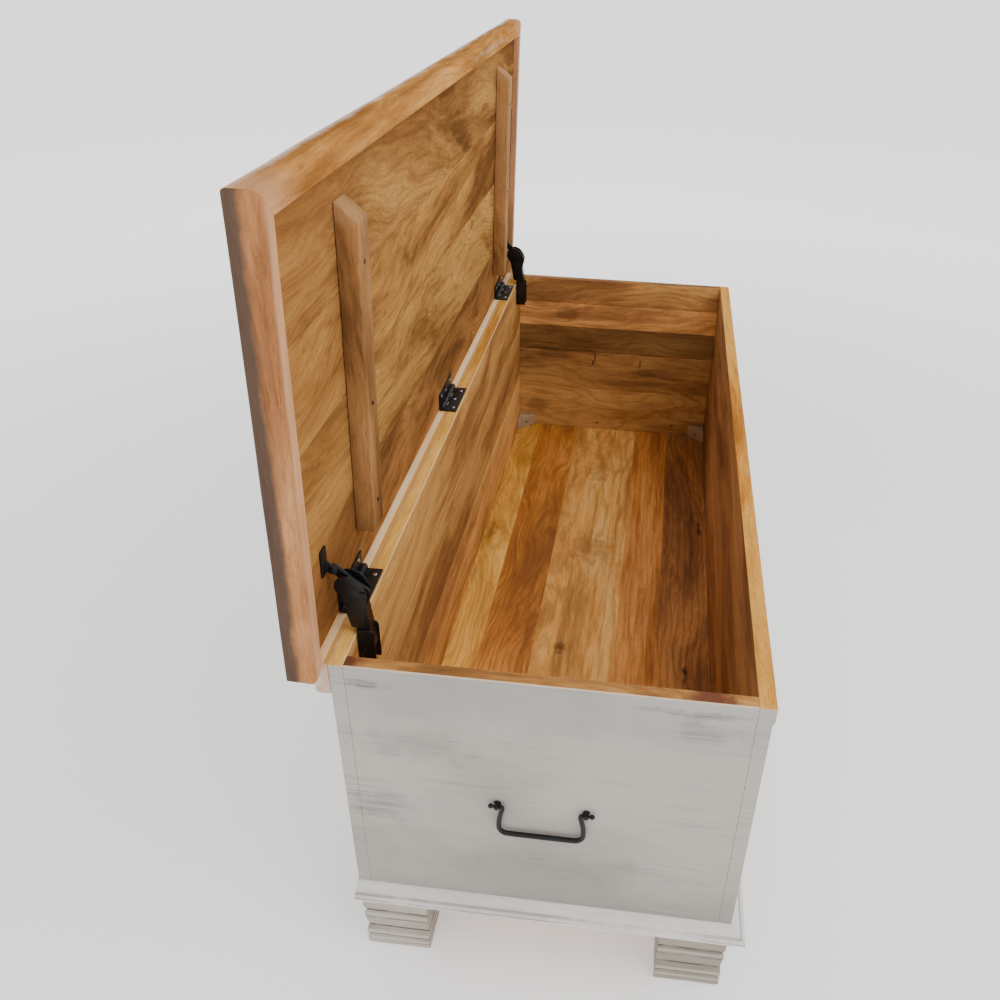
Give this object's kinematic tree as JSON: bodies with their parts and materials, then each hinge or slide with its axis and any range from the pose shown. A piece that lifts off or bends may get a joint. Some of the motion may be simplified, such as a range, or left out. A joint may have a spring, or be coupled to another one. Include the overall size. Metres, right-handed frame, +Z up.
{
  "type": "storage bench",
  "caption": "Painted wooden storage bench: a trunk on a moulded plinth with block feet, hinged lid held open by folding stays, drop handles on the ends.",
  "frame": {"origin": "on the floor, under the centre of the bounding box with the lid open", "axes": "+X along the bench, -Y towards the front panel, +Y towards the hinged side, +Z up"},
  "size_m": [1.2, 0.4814, 0.9219],
  "materials": {
    "paint": "distressed white paint over wood, satin",
    "board_wood": "clear satin lacquer over honey-coloured boards",
    "rim_wood": "clear satin lacquer, worn paint on the outer edge",
    "iron": "black satin"
  },
  "bodies": {
    "carcass": {"front_panel": "paint", "back_panel": "paint", "back_rail": "paint", "left_panel": "paint", "right_panel": "paint", "floor_board_1": "board_wood", "floor_board_2": "board_wood", "floor_board_3": "board_wood", "floor_board_4": "board_wood", "floor_board_5": "board_wood", "corner_block_front_left": "board_wood", "corner_block_front_right": "board_wood", "corner_block_back_left": "board_wood", "corner_block_back_right": "board_wood", "floor_bearer_1": "board_wood", "floor_bearer_2": "board_wood", "plinth_front": "paint", "plinth_left": "paint", "plinth_right": "paint", "plinth_back": "paint", "foot_front_left": "paint", "foot_front_right": "paint", "foot_back_left": "paint", "foot_back_right": "paint", "hinge_base_leaf_1": "iron", "hinge_base_leaf_2": "iron", "hinge_base_leaf_3": "iron", "hinge_pin_1": "iron", "hinge_pin_2": "iron", "hinge_pin_3": "iron", "stay_housing_left": "iron", "stay_housing_right": "iron", "handle_stud_left_1": "iron", "handle_stud_left_2": "iron", "handle_stud_right_1": "iron", "handle_stud_right_2": "iron"},
    "lid": {"lid_rim_front": "rim_wood", "lid_rim_left": "rim_wood", "lid_rim_right": "rim_wood", "lid_board_1": "board_wood", "lid_board_2": "board_wood", "lid_board_3": "board_wood", "lid_board_4": "board_wood", "lid_batten_left": "board_wood", "lid_batten_right": "board_wood", "hinge_lid_leaf_1": "iron", "hinge_lid_leaf_2": "iron", "hinge_lid_leaf_3": "iron", "stay_bracket_left": "iron", "stay_bracket_right": "iron"},
    "stay_channel_left": {"stay_channel_left": "iron"},
    "stay_arm_left": {"stay_arm_left": "iron"},
    "bail_left": {"bail_left": "iron"},
    "stay_channel_right": {"stay_channel_right": "iron"},
    "stay_arm_right": {"stay_arm_right": "iron"},
    "bail_right": {"bail_right": "iron"}
  },
  "joints": [
    {"name": "lid_hinge", "type": "hinge", "parent": "carcass", "child": "lid", "pos_m": [0, 0.21432, 0.4675], "axis": [1, 0, 0], "range_deg": [0, 88]},
    {"name": "stay_foot_left", "type": "hinge", "parent": "carcass", "child": "stay_channel_left", "pos_m": [-0.5197, 0.18482, 0.442], "axis": [1, 0, 0], "range_deg": [0, 88]},
    {"name": "stay_knee_left", "type": "hinge", "parent": "stay_channel_left", "child": "stay_arm_left", "pos_m": [-0.5197, 0.17985, 0.51247], "axis": [1, 0, 0], "range_deg": [-88, 0]},
    {"name": "stay_foot_right", "type": "hinge", "parent": "carcass", "child": "stay_channel_right", "pos_m": [0.5197, 0.18482, 0.442], "axis": [1, 0, 0], "range_deg": [0, 88]},
    {"name": "stay_knee_right", "type": "hinge", "parent": "stay_channel_right", "child": "stay_arm_right", "pos_m": [0.5197, 0.17985, 0.51247], "axis": [1, 0, 0], "range_deg": [-88, 0]},
    {"name": "bail_left", "type": "hinge", "parent": "carcass", "child": "bail_left", "pos_m": [-0.58, -0.00668, 0.2888], "axis": [0, 1, 0], "range_deg": [0, 92]},
    {"name": "bail_right", "type": "hinge", "parent": "carcass", "child": "bail_right", "pos_m": [0.58, -0.00668, 0.2888], "axis": [0, -1, 0], "range_deg": [0, 92]}
  ],
  "couplings": [
    {"joint": "stay_foot_left", "follows": "lid_hinge", "ratio": 1},
    {"joint": "stay_knee_left", "follows": "lid_hinge", "ratio": -1},
    {"joint": "stay_foot_right", "follows": "lid_hinge", "ratio": 1},
    {"joint": "stay_knee_right", "follows": "lid_hinge", "ratio": -1}
  ]
}
